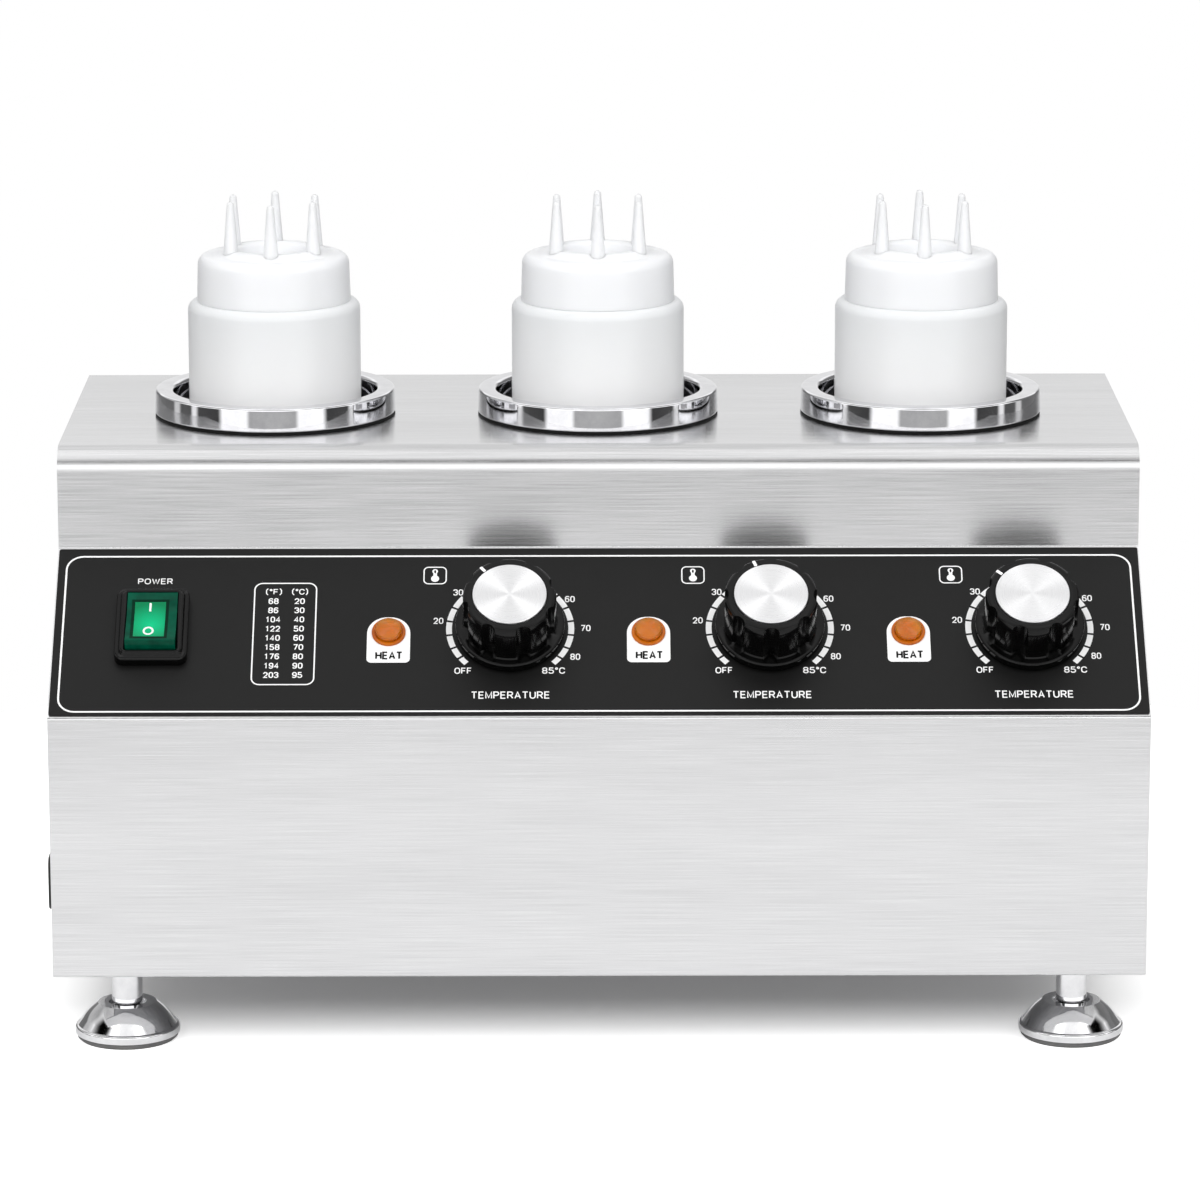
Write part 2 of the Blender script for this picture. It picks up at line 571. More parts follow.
def screwPlaces():
    # Where each screw's seat is: behind, below and on the slope, each turned by its own angle
    low, high = lowest("cover_shell"), highest("cover_shell")
    halfWidth = (high[0] - low[0]) / 2
    back = highest("rear_panel")[1]
    across = (halfWidth - screw["wallEdge"]) / 1.5
    edges = (undersideZ + screw["wallEdge"], topPlateZ - screw["wallEdge"])
    behind = [((k * across, back, z), (-1, 0, 0), (0, 0, 1)) for k in (-1.5, -0.5, 0.5, 1.5) for z in edges]
    depth = highest("cover_shell")[1] - low[1]
    spots = [(k * halfWidth / 1.5, low[1] + screw["baseInset"]) for k in (-1, 0, 1)]
    spots += [(s * (halfWidth - screw["wallEdge"]), low[1] + t * depth) for s in (-1, 1) for t in (1 / 3, 2 / 3)]
    below = [((x, y, undersideZ), (1, 0, 0), (0, -1, 0)) for x, y in spots]
    places = [frameAt(*spot) for spot in behind + below]
    for s in (-1, 1):
        for side in sides:
            seat = onSlope(knobPlaces[side][0] + s * screw["thermostatGap"], controlU)
            seat[:3, 3] += overlayTop * slopeNormal
            places.append(seat)
    return places


crowned = screwPart(screw["headRadius"], screw["headHeight"], (screw["headRadius"], 0.0))
flush = screwPart(screw["flushRadius"], 0, (screw["shank"], -screw["flushDepth"]))
heads = [placed(crowned, turned(place, 37 * k)) for k, place in enumerate(screwPlaces())]
inletFace, inletMiddle = lowest("power_inlet")[0], middle("power_inlet")
for s in (-1, 1):
    spot = (inletFace, inletMiddle[1] + s * screw["inletGap"], inletMiddle[2])
    heads.append(placed(flush, turned(frameAt(spot, (0, -1, 0), (0, 0, 1)), 20 * s)))
makePiece("screws", joined(heads), np.eye(4), steel["screw"], "cabinet", ["fixing_screws"])
print("screws made")

# Rings

ring = {"outerRadius": 51.5, "boreRadius": 43.2, "height": 11.3, "neckRadius": 48.2, "neckHeight": 1.25,
        "edge": 1.1, "boreEdge": 1.8, "lean": 0.5, "spigotRadius": 46, "spigotDepth": 1.2}
seal = {"inner": 48.25, "outer": 51.2, "low": 0.02, "high": 1.2}


def ringProfile():
    # Closed section of a ring: bore, spigot in the sheet, neck, outer wall and top
    r = ring
    return eased([
        (r["boreRadius"], -r["spigotDepth"], 0.2), (r["spigotRadius"], -r["spigotDepth"], 0.2),
        (r["spigotRadius"], 0), (r["neckRadius"], 0), (r["neckRadius"], r["neckHeight"], 0.2),
        (r["outerRadius"], r["neckHeight"], 0.7), (r["outerRadius"] - r["lean"], r["height"], r["edge"]),
        (r["boreRadius"], r["height"], r["boreEdge"]),
    ], 8)


for side in sides:
    place = upright(f"well_ring_{side}", topPlateZ)
    makePiece(f"ring_{side}", revolved(ringProfile(), 160), place, steel["ring"], "cabinet",
              [f"well_ring_{side}"])
    makePiece(f"seal_{side}", washer(**seal, radii=(0, 0.2, 0.2, 0), steps=3, turns=128), place, sealBlack,
              "cabinet")
print("rings made")

# Bottles and caps

bottle = {"radius": 36.7, "neckRadius": 29.6, "wall": 1.4, "shoulder": 4, "heel": 6, "pushUp": 2.2,
          "pushRadius": 22, "restRadius": 27.5}
cap = {"footRadius": 32.7, "topRadius": 32.1, "height": 19.8, "wall": 1.5, "edge": 4.2, "bossFoot": 25.5,
       "bossSlope": 5, "bossRim": 17.2, "bossHeight": 2.4, "craterRadius": 14.5, "craterDepth": 8,
       "nozzleCircle": 20.1, "nozzles": 6, "nozzleHeight": 23.6, "tip": 1.55, "root": 2.85, "flare": 0.45,
       "hole": 0.7}


def bottleProfile(height, neckTop):
    # Closed wall section: pushed-up base, heel, straight wall, shoulder and neck, out and back inside
    b = bottle
    w, radius, neck = b["wall"], b["radius"], b["neckRadius"]
    outer = [(0, b["pushUp"]), (b["pushRadius"], b["pushUp"], 6), (b["restRadius"], 0, 3), (radius, 0, b["heel"]),
             (radius, height, b["shoulder"]), (neck, height, 0.8), (neck, neckTop, 0.5)]
    inner = [(neck - w, neckTop, 0.5), (neck - w, height - w, 0.8), (radius - w, height - w, b["shoulder"] - w),
             (radius - w, w, b["heel"] - w), (b["restRadius"], w, 3), (b["pushRadius"], b["pushUp"] + w, 6),
             (0, b["pushUp"] + w)]
    return np.concatenate([eased(outer, 8), eased(inner, 8)])


def capProfile():
    # Closed wall section: skirt, round edge, boss, crater and its floor, then back under them
    c = cap
    w, top, crater = c["wall"], c["height"], c["craterRadius"]
    rim = top + c["bossHeight"]
    floor = rim - c["craterDepth"]
    outer = [(0, floor), (crater, floor, 1.5), (crater + 0.9, rim - 1, 1.2), (c["bossRim"], rim, 0.9),
             (c["bossFoot"] - c["bossSlope"], rim, 2.2), (c["bossFoot"], top, 2.6), (c["topRadius"], top, c["edge"]),
             (c["footRadius"], 0, 0.15), (c["footRadius"] - w, 0, 0.3)]
    inner = [(c["topRadius"] - w, top - w, 1.0), (crater + w, top - w, 0.5), (crater + w, floor - w, 1),
             (0, floor - w)]
    return np.concatenate([eased(outer, 8), eased(inner, 6)])


def nozzleProfile():
    # Closed wall section: a foot that widens into the boss, a long taper, a round tip and the hole through it
    c = cap
    low, boss, tip = c["height"] + 0.4, c["height"] + c["bossHeight"], c["height"] + c["nozzleHeight"]
    side = eased([(c["root"] + c["flare"], low), (c["root"] + 0.2, boss + 0.8, 6), (c["tip"], tip - c["tip"])],
                 8)
    end = arc((0, tip - c["tip"]), c["tip"], 8, 90 - math.degrees(math.asin(0.5 * c["hole"] / c["tip"])), 8)
    bore = [(c["hole"], tip - 0.9), (c["hole"], low)]
    return np.concatenate([side[:-1], end, bore])


for side in sides:
    heelZ, neckTop = lowest(f"bottle_{side}")[2], highest(f"bottle_{side}")[2]
    capZ = lowest(f"bottle_cap_{side}")[2]
    well = f"well_ring_{side}"
    makePiece(f"squeeze_bottle_{side}", revolved(bottleProfile(capZ - heelZ, neckTop - heelZ), 128),
              upright(well, heelZ), bottleMilky, f"bottle_{side}_body", [f"bottle_{side}"])
    parts = [revolved(capProfile(), 128)]
    for k in range(cap["nozzles"]):
        spot = turned(np.eye(4), 90 + k * 360 / cap["nozzles"]) @ frameAt((cap["nozzleCircle"], 0, 0))
        parts.append(placed(revolved(nozzleProfile(), 32), spot))
    makePiece(f"nozzle_cap_{side}", joined(parts), upright(well, capZ), capMilky, f"cap_{side}_body",
              [f"bottle_cap_{side}"])
print("bottles and caps made")

# Knobs, on frames whose y points at the index mark

knob = {"skirtRadius": 22.5, "skirtHeight": 4.5, "gripRadius": 19, "height": 23, "gap": 0.5, "insertRadius": 15.2,
        "insertRise": 0.7, "insertDepth": 1.1, "flutes": 8, "fluteRadius": 4, "fluteDepth": 1.7, "fluteBlend": 0.18,
        "cavityRadius": 20.5, "cavityHeight": 3, "markWidth": 1.3, "turns": 480}
indexAngles = {"left": 40, "middle": 22, "right": 50}


def knobPart():
    # The profile is turned, and above the skirt its radius is held under the flutes' circles:
    # d cos a - sqrt(R^2 - d^2 sin^2 a), with a soft minimum that rounds the flutes' edges
    k = knob
    low, top = overlayTop + k["gap"], overlayTop + k["height"]
    skirtTop = overlayTop + k["skirtHeight"]
    wall = np.linspace(skirtTop + 0.6, top - 1.6, 6)
    seatRadius, seatZ = k["insertRadius"] + 0.15, top - k["insertDepth"]
    gripTop = eased([(k["gripRadius"], skirtTop), (k["gripRadius"], top, 1.3), (seatRadius, top, 0.3),
                     (seatRadius, seatZ), (0, seatZ)], 6)
    profile = np.concatenate([
        eased([(k["cavityRadius"], low, 0.2), (k["skirtRadius"], low, 0.3), (k["skirtRadius"], skirtTop, 1.0),
               (k["gripRadius"] + 0.6, skirtTop)], 6),
        np.column_stack([np.full(6, k["gripRadius"] + 0.15), wall]),
        gripTop[1:],
        [(0, overlayTop + k["cavityHeight"]), (k["cavityRadius"], overlayTop + k["cavityHeight"])],
    ])
    angles = fullTurn(k["turns"])
    radius = np.repeat(profile[:, :1], k["turns"], axis=1)
    height = np.repeat(profile[:, 1:], k["turns"], axis=1)
    step = 2 * math.pi / k["flutes"]
    away = (angles - math.pi / 2) % step - step / 2
    centre = k["gripRadius"] + k["fluteRadius"] - k["fluteDepth"]
    inside = np.clip(k["fluteRadius"] ** 2 - (centre * np.sin(away)) ** 2, 0, None)
    flute = np.where(inside > 0, centre * np.cos(away) - np.sqrt(inside), 1e3)[None, :]
    soft = k["fluteBlend"]
    share = np.clip(0.5 + (flute - radius) / (2 * soft), 0, 1)
    held = flute * (1 - share) + radius * share - soft * share * (1 - share)
    fluted = (height > skirtTop + 0.01) & (radius > k["insertRadius"] + 1)
    radius = np.where(fluted, np.minimum(held, radius), radius)
    return gridPart(roundAxis(radius, height, angles), wrapRows=True)


def insertPart():
    # A thin disc with a bright turned edge and a face that dips slightly towards its centre
    radius = knob["insertRadius"]
    low = overlayTop + knob["height"] - knob["insertDepth"]
    face = overlayTop + knob["height"] + knob["insertRise"]
    return revolved(eased([(0, low), (radius, low, 0.1), (radius, face, 0.35), (radius - 1.0, face - 0.12, 0.2),
                           (0, face - 0.2)]), 128)


for side in sides:
    place = onSlope(knobPlaces[side][0], controlU, indexAngles[side])
    body = f"knob_{side}_set"
    makePiece(f"grip_{side}", knobPart(), place, knobBlack, body, [f"knob_{side}"], 32)
    makePiece(f"insert_{side}", insertPart(), place, facedAluminium(f"faced aluminium {side}", place), body,
              [f"knob_insert_{side}"], 30)
    markLength = knob["gripRadius"] - knob["insertRadius"] - 0.9
    bar = lofted([(knob["markWidth"], markLength, 0.3, z) for z in (-0.1, 0.06)])
    spot = frameAt((0, knob["insertRadius"] + 0.5 + markLength / 2, overlayTop + knob["height"]))
    makePiece(f"index_mark_{side}", placed(bar, spot), place, inkWhite, body)
print("knobs made")

# Heat lamps on their labels

lamp = {"flangeRadius": 7, "flangeHeight": 1.2, "domeRadius": 5.6, "domeHeight": 3.4, "hollowRadius": 4.5,
        "hollowHeight": 2.2, "bead": 1.2, "beadY": -2.9, "u": 43}
label = {"width": 17.8, "low": 27.6, "high": 51.0, "corner": 2.0, "crown": 8.3, "thickness": 0.15,
         "wordPlace": (0.3, 31.2), "wordWidth": 11.3, "wordHeight": 4.1, "wordWeight": 0.8, "wordThickness": 0.05}


def lensPart():
    # Hollow dome, open below: its crown rises by 0.25 mm towards the middle
    a = lamp
    z = overlayTop
    crown, hollow = z + a["domeHeight"], z + a["hollowHeight"]
    outer = [(a["domeRadius"], z), (a["domeRadius"], crown, 0.9), (0, crown + 0.25)]
    inner = [(0, hollow), (a["hollowRadius"], hollow, 0.8), (a["hollowRadius"], z, 0.1)]
    return revolved(np.concatenate([eased(outer, 6), eased(inner, 6)]))


def bowlPart():
    # A shallow reflector under the lens: z = 0.1 + 0.5 r^2 / R^2
    radius = np.linspace(0, lamp["hollowRadius"] - 0.1, 8)
    top = np.column_stack([radius, overlayTop + 0.1 + 0.5 * (radius / radius[-1]) ** 2])
    return revolved(np.concatenate([[(0, overlayTop)], [(radius[-1], overlayTop)], top[::-1]]), 48)


def labelPart():
    # The label's outline is a box with round lower corners and a wide arch on top. Its hole is the
    # outline's points drawn in towards the lamp, to the edge of the lens
    b = label
    half = b["width"] / 2
    box = [(-half, b["low"], b["corner"]), (half, b["low"], b["corner"]), (half, b["high"], b["crown"]),
           (-half, b["high"], b["crown"])]
    outline = eased(box, 16) - (0, lamp["u"])
    outline = np.concatenate([np.linspace(a, z, 6, endpoint=False)
                              for a, z in zip(outline, np.roll(outline, -1, axis=0))])
    hole = outline / np.linalg.norm(outline, axis=1)[:, None] * (lamp["flangeRadius"] - 0.05)
    low, high = overlayTop, overlayTop + b["thickness"]
    rings = [(hole, low), (hole, high), (outline * 0.995, high), (outline, high - 0.04), (outline, low)]
    return gridPart(np.array([atHeight(*edge) for edge in rings]), wrapRows=True)


# The lens's flat foot, a ring with a round upper edge
collar = washer(lamp["domeRadius"] + 0.02, lamp["flangeRadius"], overlayTop, overlayTop + lamp["flangeHeight"],
                (0, 0.1, 0.5, 0.2))
for side in sides:
    place = onSlope(lampX[side], lamp["u"])
    makePiece(f"lens_{side}", lensPart(), place, lensAmber, "cabinet", [f"lamp_lens_{side}"], 50)
    makePiece(f"collar_{side}", collar, place, collarAmber, "cabinet")
    makePiece(f"reflector_{side}", bowlPart(), place, bowlAmber, "cabinet")
    dome = revolved(np.vstack([[(0.02, 0)], arc((0, 0), lamp["bead"], 0, 89, 8)]), 32)
    makePiece(f"bead_{side}", placed(dome, frameAt((0, lamp["beadY"], overlayTop + 0.3))), place, beadYellow,
              "cabinet")
    makePiece(f"heat_label_{side}", labelPart(), place, labelWhite, "cabinet")
    words = letters("HEAT", label["wordWidth"], label["wordHeight"], label["wordWeight"], label["wordThickness"])
    x, u = label["wordPlace"]
    spot = frameAt((x, u - lamp["u"], overlayTop + label["thickness"] - 0.02))
    makePiece(f"heat_word_{side}", placed(words, spot), place, inkBlack, "cabinet")
print("lamps made")

# Power switch

switch = {"width": 30, "length": 37.4, "corner": 4, "flange": 4.5, "edge": 1.2, "frame": 6.2, "margin": 1.7,
          "window": (21.1, 30), "barrel": (27, 33), "depth": 24, "blade": (6.3, 0.8, 0.2), "bladeLength": 9,
          "bladePitch": 9}
rocker = {"pivot": 4.0, "tilt": -8, "endHeight": 5.1, "dip": 1.5, "dishRadius": 65.1, "panelWidth": 12.7,
          "panel": (-11.5, 9.0), "panelX": -0.7, "step": 1.3, "lamp": (0, -4, 4), "lampReach": 12,
          "onPlace": (-0.7, 6.2, 0), "onSize": (0.85, 4.4, 0.2), "offPlace": (-0.9, -7.8, 0), "offRadius": 2.25,
          "offLine": 0.8, "offStretch": 1.2, "markThickness": 0.07}


def housingPart():
    # Barrel, flange with a round edge, sloped frame with a round edge, and the window down into the barrel
    w = switch
    z = overlayTop
    bands = [(*w["barrel"], 1, -w["depth"]), (*w["barrel"], 1, z), (w["width"], w["length"], w["corner"], z)]
    for inset, height in arc((w["edge"], w["flange"] - w["edge"]), w["edge"], 180, 90):
        bands.append((w["width"] - 2 * inset, w["length"] - 2 * inset, w["corner"] - inset / 2, z + height))
    margin, top = w["margin"], w["frame"]
    for inset, height in [(margin, w["flange"] + 0.05), (margin + 0.35, top - 0.9), (margin + 0.5, top - 0.45),
                          (margin + 0.8, top - 0.12), (margin + 1.2, top)]:
        bands.append((w["width"] - 2 * inset, w["length"] - 2 * inset, w["corner"] - 0.9, z + height))
    wide, long = w["window"]
    for grow, height in [(0.5, top), (0.12, top - 0.15), (0, top - 0.5), (0, 1.5 - w["depth"])]:
        bands.append((wide + 2 * grow, long + 2 * grow, 0.8, z + height))
    blade = lofted([(*w["blade"], level) for level in (-w["bladeLength"], 0.1)])
    blades = [placed(blade, frameAt((0, k * w["bladePitch"], -w["depth"]))) for k in (-1, 0, 1)]
    return joined([lofted(bands), *blades])


def dished(part, lift):
    # Lays a flat part on the rocker's top: z = end - dip + R - sqrt(R^2 - y^2)
    r = rocker
    points = part[0].copy()
    sag = r["dishRadius"] - np.sqrt(r["dishRadius"] ** 2 - points[:, 1] ** 2)
    points[:, 2] += r["endHeight"] - r["dip"] + sag + lift
    return points, part[1]


def panelStrip(grow, top):
    # A flat strip along the rocker, the lit panel's size grown on all sides
    r = rocker
    along = np.linspace(r["panel"][0] - grow, r["panel"][1] + grow, 25)
    half = np.full(25, r["panelWidth"] / 2 + grow)
    edges = [np.column_stack([r["panelX"] + s * half, along]) for s in (-1, 1)]
    return strip(*edges, -0.3, top)


def rockerMarks():
    # The bar and the ring, printed
    r = rocker
    thickness = r["markThickness"]
    on = placed(lofted([(*r["onSize"], z) for z in (0, thickness)]), frameAt(r["onPlace"]))
    off = washer(r["offRadius"] - r["offLine"], r["offRadius"], 0, thickness, turns=48)
    return joined([on, placed(off, frameAt(r["offPlace"], up=(0, r["offStretch"], 0)))])


switchPlace = onSlope(switchX, controlU)
makePiece("switch_body", housingPart(), switchPlace, switchBlack, "cabinet", ["switch_housing"], 50)
lean = math.radians(rocker["tilt"])
rockerPlace = turned(switchPlace, 0, rocker["pivot"]) @ frameAt((0, 0, 0), up=(0, math.cos(lean), math.sin(lean)))
dressNode("switch_rocker", rockerGreen, 0.35, 40)
lampSpot = rockerPlace @ np.array([*rocker["lamp"], 1])
rockerGlow = litPanel("lit green diffuser", lampSpot[:3], rocker["lampReach"], ("#04c284", "#007a4c"))
for name, part, lift, material in (("rocker_recess", panelStrip(rocker["step"], 0.03), 0, recessGreen),
                                   ("rocker_panel", panelStrip(0, 0.06), 0, rockerGlow),
                                   ("rocker_marks", rockerMarks(), 0.04, inkWhite)):
    makePiece(name, dished(part, lift), rockerPlace, material, "rocker")
dressNode("power_inlet", inletBlack, 0.4, 40)
print("switch and inlet made")

# Printing on the overlay, in millimetres across from the middle and up the slope

border = {"width": 442.6, "low": 2.4, "high": 83.5, "corner": 7.2, "line": 0.75}
table = {"left": -142.7, "right": -116.6, "low": 16.2, "high": 69.2, "corner": 3.6, "line": 0.55,
         "columns": (-134.5, -123.7), "head": 64.5, "first": 59.6, "pitch": 4.775, "tall": 3.0, "digit": 2.1}
celsius = (20, 30, 40, 50, 60, 70, 80, 90, 95)
dial = {"inner": 24.0, "outer": 26.4, "end": 135, "gaps": (0, 16.2, 32.4, 48.7, 65, 81.2, 97.4, 113, 126), "gap": 2.2,
        "tall": 3.2}
dialWords = [("OFF", -19.2, -21.6, 7.1), ("20", -29.6, 4.2, 4.1), ("30", -21.6, 19.0, 4.1), ("40", -6.6, 28.6, 4.1),
             ("50", 11.4, 27.2, 4.1), ("60", 24.6, 15.4, 4.1), ("70", 31.1, 0.3, 4.1), ("80", 26.8, -14.5, 4.1),
             ("85°C", 17.9, -21.6, 9.4)]
icon = {"x": -31.3, "u": 72.9, "width": 9.7, "height": 9.2, "corner": 2.2, "line": 0.5, "bulbY": -1.65,
        "bulb": 1.65, "headY": 2.2, "head": 1.15, "tube": 0.72, "eyeY": 2.0, "eye": 0.42, "eyeStretch": 2.1}


def printed(name, parts, x=0, u=0):
    # White print, moved across and up the slope
    makePiece(name, joined(parts), onSlope(x, u), inkWhite, "cabinet")


def word(text, x, u, width, height, weight=0.48):
    # Letters on the overlay, centred at x and u
    return placed(letters(text, width, height, weight, ink[1] - ink[0]), frameAt((x, u, ink[0])))


def dialBlocks():
    # Bars between the gaps of the scale, each a strip between two circles, on both sides of the top
    edges = sorted({s * gap for gap in dial["gaps"] for s in (-1, 1)} | {-dial["end"], dial["end"]})
    blocks = []
    for start, end in zip(edges, edges[1:]):
        trim = [0 if abs(edge) == dial["end"] else dial["gap"] / 2 for edge in (start, end)]
        angles = np.radians(np.linspace(start + trim[0], end - trim[1], 9))
        way = np.column_stack([np.sin(angles), np.cos(angles)])
        blocks.append(strip(way * dial["inner"], way * dial["outer"], *ink))
    return blocks


def iconParts():
    # A frame round a thermometer: a round bulb, a straight tube, and an eye in its round head
    k = icon
    height = np.linspace(k["bulbY"] - k["bulb"], k["headY"] + k["head"], 60)
    rounds = [(k["bulb"], k["bulbY"], 1), (k["head"], k["headY"], 1), (k["eye"], k["eyeY"], k["eyeStretch"])]
    bulb, head, eye = [np.sqrt(np.clip(radius ** 2 - ((height - y) / tall) ** 2, 0, None))
                       for radius, y, tall in rounds]
    tube = np.where((height > -1.2) & (height < 2.4), k["tube"], 0)
    half = np.maximum(np.maximum(bulb, head), tube) + 0.02
    halves = [strip(np.column_stack([-s * half, height])[::s], np.column_stack([-s * eye, height])[::s], *ink)
              for s in (-1, 1)]
    return [frameLine(k["width"], k["height"], k["corner"], k["line"], *ink), *halves]


printed("printed_border", [frameLine(border["width"], border["high"] - border["low"], border["corner"],
                                     border["line"], *ink)],
        0, (border["high"] + border["low"]) / 2)
printed("printed_power", [word("POWER", 0, 0, 14.4, 3.0, 0.42)], -183.8, 70.1)
rows = [word("(°F)", table["columns"][0], table["head"], 6.6, 2.9, 0.42),
        word("(°C)", table["columns"][1], table["head"], 6.6, 2.9, 0.42)]
for k, degree in enumerate(celsius):
    for column, text in zip(table["columns"], (str(round(degree * 1.8 + 32)), str(degree))):
        u = table["first"] - k * table["pitch"]
        rows.append(word(text, column, u, table["digit"] * len(text), table["tall"]))
box = frameLine(table["right"] - table["left"], table["high"] - table["low"], table["corner"], table["line"], *ink)
rows.append(placed(box, frameAt(((table["left"] + table["right"]) / 2, (table["low"] + table["high"]) / 2, 0))))
printed("printed_table", rows)
for side in sides:
    x = knobPlaces[side][0]
    words = [word(text, dx, du, width, dial["tall"]) for text, dx, du, width in dialWords]
    printed(f"printed_dial_{side}", dialBlocks() + words, x, controlU)
    printed(f"printed_icon_{side}", iconParts(), x + icon["x"], icon["u"])
    printed(f"printed_temperature_{side}", [word("TEMPERATURE", 0, 0, 32.3, 3.7, 0.52)], x + 0.3, 10.9)
print("overlay printed")

# Feet

foot = {"padRadius": 21, "rimRadius": 21.8, "padHeight": 2.3, "rimHeight": 3.7, "coneRadius": 20.6,
        "topRadius": 12.1, "topHeight": 15.3, "bulge": 0.55, "recessRadius": 7.65, "recessFloor": 13.9,
        "stud": 4, "studTop": 30, "thread": 0.45, "pitch": 1.25}
stem = {"radius": 6.4, "low": 14.2, "chamfer": 1.2, "bore": 4.05, "boreTop": 31, "inSheet": 1.2, "anchor": 5,
        "anchorTop": 44.4}


def conePart():
    # Profile of the bright foot: rim, groove, flank, flat top, the recess round the stem and the threaded
    # stud, whose radius goes from crest to root and back once a pitch
    f = foot
    low, top, floor = f["padHeight"], f["topHeight"], f["recessFloor"]
    rim = low + f["rimHeight"]
    bulge = [(f["coneRadius"] + f["topRadius"]) / 2 + f["bulge"], (rim + top) / 2 + f["bulge"]]
    profile = eased([(0, low), (f["rimRadius"], low, 0.6), (f["rimRadius"], rim, 1.2),
                     (f["coneRadius"], rim, 0.25), (*bulge, 24), (f["topRadius"], top, 0.5),
                     (f["recessRadius"], top, 0.4), (f["recessRadius"], floor), (f["stud"], floor)], 10)
    heights = np.arange(floor + 0.5, f["studTop"] - 1, f["pitch"] / 2)
    radii = f["stud"] - f["thread"] * (np.arange(len(heights)) % 2)
    tip = [(f["stud"] - 1, f["studTop"]), (0, f["studTop"])]
    return revolved(np.concatenate([profile, np.column_stack([radii, heights]), tip]), 128)


def padPart():
    # A rubber disc whose lower edge is chamfered
    radius, top = foot["padRadius"], foot["padHeight"]
    return revolved(eased([(0, 0), (radius - 1, 0, 0.4), (radius, 1, 0.3), (radius, top, 0.2), (0, top)], 4))


def stemPart():
    # A smooth stem with a chamfered lower end, a bore for the stud, and a thinner upper end in the nut
    m = stem
    radius, low, shoulder = m["radius"], m["low"], undersideZ + m["inSheet"]
    return revolved(eased([(0, m["boreTop"]), (m["bore"], m["boreTop"]), (m["bore"], low, 0.2),
                           (radius - m["chamfer"], low, 0.3), (radius, low + m["chamfer"], 0.3),
                           (radius, shoulder, 0.1), (m["anchor"], shoulder), (m["anchor"], m["anchorTop"], 0.3),
                           (0, m["anchorTop"])], 4))


for corner in corners:
    place = upright(f"foot_pad_{corner}")
    body = f"foot_{corner}"
    makePiece(f"cone_{corner}", conePart(), place, steel["foot"], body, [f"foot_cone_{corner}"])
    makePiece(f"pad_{corner}", padPart(), place, padRubber, body, [f"foot_pad_{corner}"])
stems = joined([placed(stemPart(), upright(f"foot_pad_{corner}")) for corner in corners])
makePiece("stems", stems, np.eye(4), steel["foot"], "cabinet", ["foot_stems"])
print("feet made")

# Inner nodes that keep their shape

kept = {"foot_nuts": steel["screw"], "inlet_pins": brass, "terminal_block": whiteMoulding, "wiring_loom": wireBrown}
for side in sides:
    kept |= {f"thermostat_{side}": steel["plate"], f"thermostat_shaft_{side}": brass,
             f"sensor_bulb_{side}": copper, f"lamp_body_{side}": whiteMoulding}
for node, material in kept.items():
    slots = frame["nodes"][node].data.materials
    slots.clear()
    slots.append(material)

# Camera, from a fit to the photograph: focal length in pixels of its 1200-pixel frame, place and angles

camera = {"focalPixels": 5737, "framePixels": 1200, "place": (-8.0, -2385.4, 713.9), "pitch": 12.93, "yaw": 0.21,
          "roll": -0.06}


def placeCamera():
    # Looks along (sin yaw cos pitch, cos yaw cos pitch, -sin pitch), then rolls about that line
    data = bpy.data.cameras.new("camera")
    data.sensor_width = 36
    data.lens = data.sensor_width * camera["focalPixels"] / camera["framePixels"]
    data.clip_start = 0.05
    data.clip_end = 100
    pitch, yaw = np.radians([camera["pitch"], camera["yaw"]])
    forward = np.array([math.sin(yaw) * math.cos(pitch), math.cos(yaw) * math.cos(pitch), -math.sin(pitch)])
    right = unit(np.cross(forward, (0, 0, 1)))
    place = turned(frameAt(np.array(camera["place"]) * mm, right, np.cross(right, forward)), camera["roll"])
    eye = addObject("camera", data)
    eye.matrix_world = Matrix(place.tolist())
    bpy.context.scene.camera = eye


placeCamera()

# Studio: a white table in a pale room. Its edge, the dark gap under the horizon and the dark strips
# between the lights are what bright metal needs to look like metal

studio = {"tableWidth": 1300, "tableFront": -1020, "tableBack": 560, "tableTone": "#f4f4f4", "tableGlow": 0.1,
          "shade": (190, 30), "shadeBlur": 85, "shadeGlow": 0.65, "diffuseLevel": 0.43, "aim": (0, 0, 170)}
# Place, size and power of each area lamp
lights = {"key": ((-1500, -1900, 2600), 2200, 60), "fill": ((1600, -1700, 2300), 1900, 40),
          "front": ((0, -2600, 1100), 1200, 5)}
# Each line is the sine of the height, or the share of a half turn from the front, and the brightness there
frontSky = [(0, 1.8), (0.5, 1.8), (0.53, 0.0), (0.73, 0.0), (0.77, 1.15), (1, 0.92)]
backSky = [(0, 1.1), (0.1, 1.13), (0.4, 1.1), (0.6, 0.85), (0.85, 0.85), (1, 0.92)]
horizon = [(0, 0.52), (0.12, 0.47), (0.14, 1.3), (0.27, 1.3), (0.295, 0.06), (0.42, 0.08), (0.44, 1.0), (0.46, 1.0),
           (0.475, 0.1), (0.55, 0.12), (0.57, 0.7), (0.6, 0.7), (0.62, 0.15), (0.86, 0.2), (0.94, 0.9), (1, 0.85)]
fans = [(-1, 1), (-0.86, 1), (-0.8, 1.8), (-0.72, 1.8), (-0.66, 1), (-0.32, 1), (-0.26, 1.8), (-0.18, 1.8),
        (-0.12, 1.1), (0.12, 1.1), (0.18, 1.8), (0.26, 1.8), (0.32, 1), (0.66, 1), (0.72, 1.8), (0.8, 1.8),
        (0.86, 1), (1, 1)]
flanks = [(-1, 1), (-0.86, 1), (-0.8, 0.5), (-0.64, 0.5), (-0.56, 1), (0.56, 1), (0.62, 0.2), (0.8, 0.2), (0.86, 1),
          (1, 1)]


